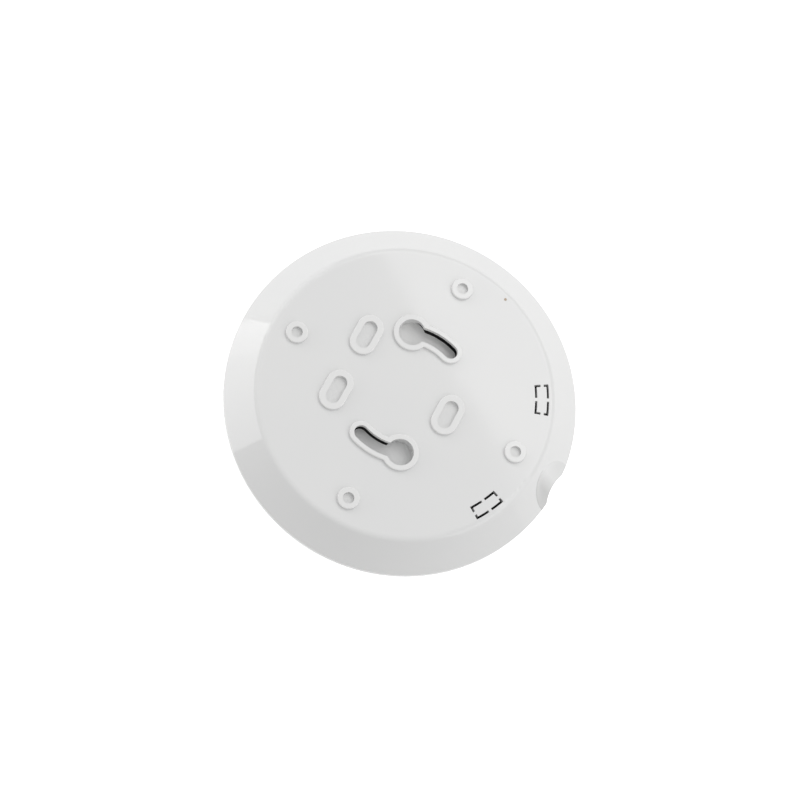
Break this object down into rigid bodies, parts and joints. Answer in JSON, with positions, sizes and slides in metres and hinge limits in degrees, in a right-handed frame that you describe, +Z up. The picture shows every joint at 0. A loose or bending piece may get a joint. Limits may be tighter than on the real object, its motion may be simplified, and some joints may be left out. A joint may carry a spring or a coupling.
{
  "type": "smoke detector",
  "caption": "Round battery smoke detector with a dish-shaped keyhole mounting base, twist-on louvred head and central test button.",
  "frame": {"origin": "centre of the two-screw keyhole circle, in the plane of the raised rims on the back, which is the ceiling plane", "axes": "+Z up into the ceiling, +X towards the finger scoop in the skirt, +Y across"},
  "size_m": [0.1098, 0.11, 0.04],
  "materials": {
    "gloss_white_abs": "glossy moulded white ABS",
    "satin_white_abs": "satin moulded white ABS",
    "black_abs": "matt black moulded plastic",
    "solder_resist": "green solder resist on glass laminate",
    "chip_epoxy": "black moulded epoxy",
    "tinned_metal": "tinned copper",
    "capacitor_sleeve": "shrunk dark sleeve with an aluminium top",
    "film_box": "moulded capacitor case",
    "ferrite": "sintered ferrite",
    "copper_winding": "enamelled copper wire",
    "cell_can": "nickel-plated steel",
    "cell_sleeve": "shrunk plastic sleeve",
    "spring_steel": "drawn spring steel",
    "zinc_steel": "zinc-plated steel",
    "screen_steel": "etched stainless sheet",
    "shield_tin": "tinplate",
    "infrared_lens": "dark tinted epoxy lens",
    "clear_lens": "clear acrylic",
    "led_lens": "tinted epoxy lens",
    "piezo_brass": "rolled brass disc",
    "ceramic_silver": "silvered piezo ceramic",
    "lead_sleeve": "PVC-insulated lead"
  },
  "bodies": {
    "base": {"mounting_base": "gloss_white_abs"},
    "head": {"rear_housing": "black_abs", "front_cover": "gloss_white_abs", "circuit_board": "solder_resist", "mcu_chip": "chip_epoxy", "mcu_pins": "tinned_metal", "capacitors": "capacitor_sleeve", "film_capacitor": "film_box", "inductor_core": "ferrite", "inductor_winding": "copper_winding", "chip_resistors": "chip_epoxy", "battery_cell": "cell_can", "battery_sleeve": "cell_sleeve", "battery_tabs": "tinned_metal", "chamber_base": "black_abs", "chamber_labyrinth": "black_abs", "insect_screen": "screen_steel", "ir_emitter": "infrared_lens", "photodiode": "infrared_lens", "photodiode_shield": "shield_tin", "horn_housing": "black_abs", "horn_retainer": "black_abs", "piezo_plate": "piezo_brass", "piezo_ceramic": "ceramic_silver", "sounder_leads": "lead_sleeve", "button_bridge": "satin_white_abs", "button_spring": "spring_steel", "switch_body": "black_abs", "status_led": "led_lens", "light_pipe": "clear_lens", "case_screws": "zinc_steel", "board_screws": "zinc_steel", "bridge_screws": "zinc_steel"},
    "button": {"test_button": "gloss_white_abs"},
    "plunger": {"switch_plunger": "black_abs"}
  },
  "joints": [
    {"name": "head_twist", "type": "hinge", "parent": "base", "child": "head", "pos_m": [0, 0, -0.0095], "axis": [0, 0, -1], "range_deg": [0, 17]},
    {"name": "button_press", "type": "slide", "parent": "head", "child": "button", "axis": [0, 0, 1], "range_m": [0, 0.0005], "stiffness_N_per_m": 540, "springref_m": -0.002, "deforming": ["button_spring"]},
    {"name": "plunger_press", "type": "slide", "parent": "head", "child": "plunger", "axis": [0, 0, 1], "range_m": [0, 0.0005]}
  ],
  "couplings": [
    {"joint": "plunger_press", "follows": "button_press", "ratio": 1}
  ]
}
